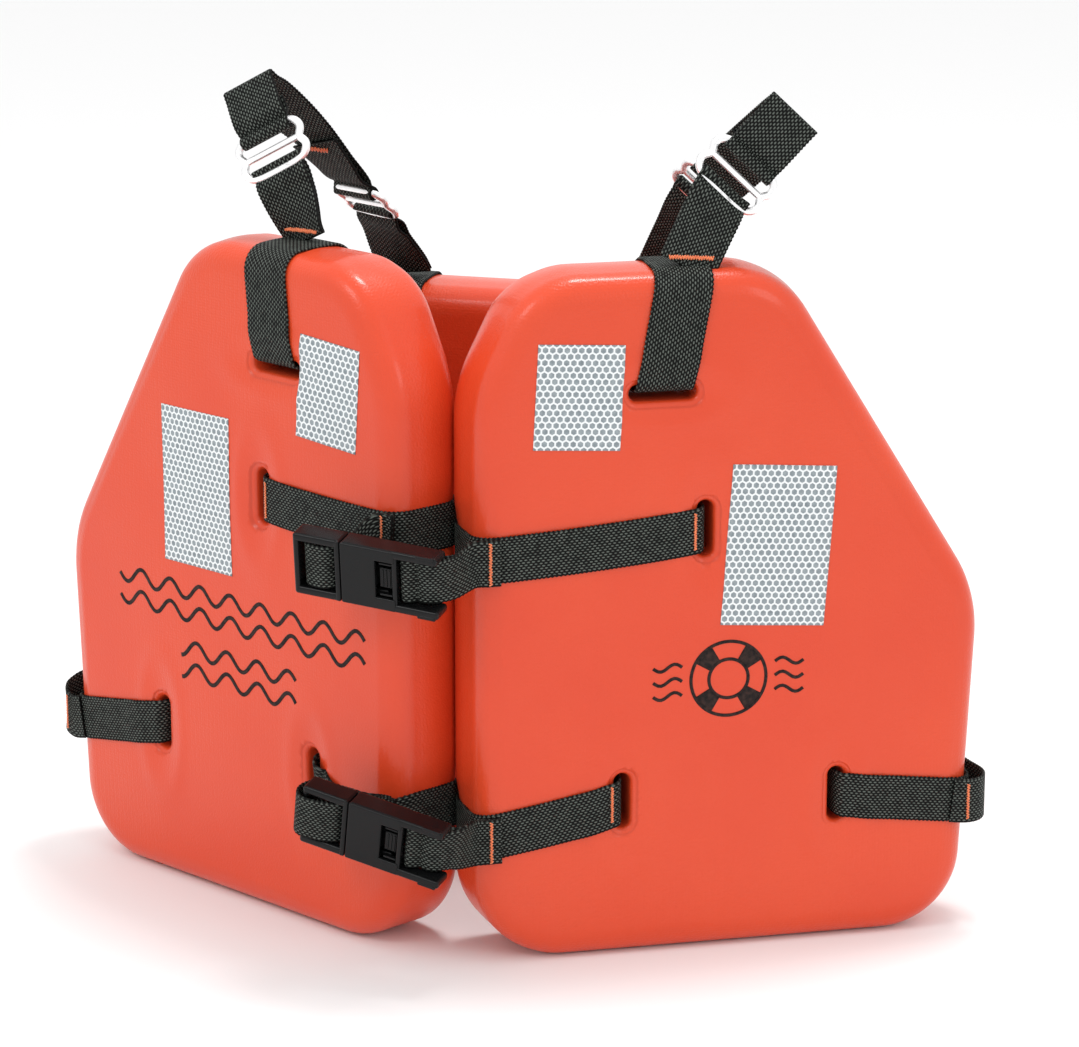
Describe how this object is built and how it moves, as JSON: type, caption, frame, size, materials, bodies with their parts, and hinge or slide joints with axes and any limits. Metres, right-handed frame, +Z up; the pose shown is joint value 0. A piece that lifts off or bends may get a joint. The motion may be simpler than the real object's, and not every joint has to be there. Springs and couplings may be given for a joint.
{
  "type": "life_jacket",
  "caption": "Orange vinyl-dipped foam work vest with two front panels, a back panel, black webbing belts, side-release buckles, shoulder slides and reflective patches.",
  "frame": {"origin": "on the ground, in the middle of the vest's bounding box", "axes": "X across the chest (+X is the wearer's left), -Y is the way the wearer faces, Z up"},
  "size_m": [0.5264, 0.2756, 0.4717],
  "materials": {
    "vinyl": "semi-gloss dipped vinyl",
    "foam": "closed-cell foam",
    "webbing": "woven",
    "buckle": "satin moulded",
    "metal": "nickel plated",
    "reflective": "retroreflective sheet"
  },
  "bodies": {
    "back": {"back_skin": "vinyl", "back_foam": "foam", "back_left_side_web": "webbing", "back_right_side_web": "webbing", "back_left_loop_web": "webbing", "back_right_loop_web": "webbing"},
    "left_front": {"left_front_skin": "vinyl", "left_front_foam": "foam", "left_upper_patch": "reflective", "left_lower_patch": "reflective", "left_chest_web": "webbing", "left_waist_web": "webbing", "left_side_web": "webbing", "left_shoulder_web": "webbing", "left_adjuster": "metal", "left_shoulder_strap": "webbing", "left_rear_slide": "metal", "left_rear_loop": "webbing", "upper_buckle_socket": "buckle", "lower_buckle_socket": "buckle", "upper_socket_web": "webbing", "lower_socket_web": "webbing"},
    "right_front": {"right_front_skin": "vinyl", "right_front_foam": "foam", "right_upper_patch": "reflective", "right_lower_patch": "reflective", "right_chest_web": "webbing", "right_waist_web": "webbing", "right_side_web": "webbing", "right_shoulder_web": "webbing", "right_adjuster": "metal", "right_shoulder_strap": "webbing", "right_rear_slide": "metal", "right_rear_loop": "webbing", "upper_belt_tail": "webbing", "lower_belt_tail": "webbing"},
    "upper_plug": {"upper_buckle_plug": "buckle", "upper_plug_web": "webbing"},
    "lower_plug": {"lower_buckle_plug": "buckle", "lower_plug_web": "webbing"},
    "upper_release": {"upper_buckle_tongue": "buckle"},
    "lower_release": {"lower_buckle_tongue": "buckle"}
  },
  "joints": [
    {"name": "left_front_swing", "type": "hinge", "parent": "back", "child": "left_front", "pos_m": [0.16605, 0.09195, 0.084], "axis": [-0.3661, 0.0689, 0.928], "range_deg": [0, 60]},
    {"name": "right_front_swing", "type": "hinge", "parent": "back", "child": "right_front", "pos_m": [-0.18595, 0.09195, 0.093], "axis": [-0.3775, -0.071, -0.9233], "range_deg": [0, 60]},
    {"name": "upper_plug_draw", "type": "slide", "parent": "right_front", "child": "upper_plug", "axis": [-0.9879, 0.1388, 0.0698], "range_m": [0, 0.03]},
    {"name": "upper_release_press", "type": "slide", "parent": "upper_plug", "child": "upper_release", "axis": [0.1505, 0.9667, 0.2069], "range_m": [0, 0.0018], "stiffness_N_per_m": 400},
    {"name": "lower_plug_draw", "type": "slide", "parent": "right_front", "child": "lower_plug", "axis": [-0.9721, 0.1366, 0.1908], "range_m": [0, 0.03]},
    {"name": "lower_release_press", "type": "slide", "parent": "lower_plug", "child": "lower_release", "axis": [0.1748, 0.964, 0.2005], "range_m": [0, 0.0018], "stiffness_N_per_m": 400}
  ]
}
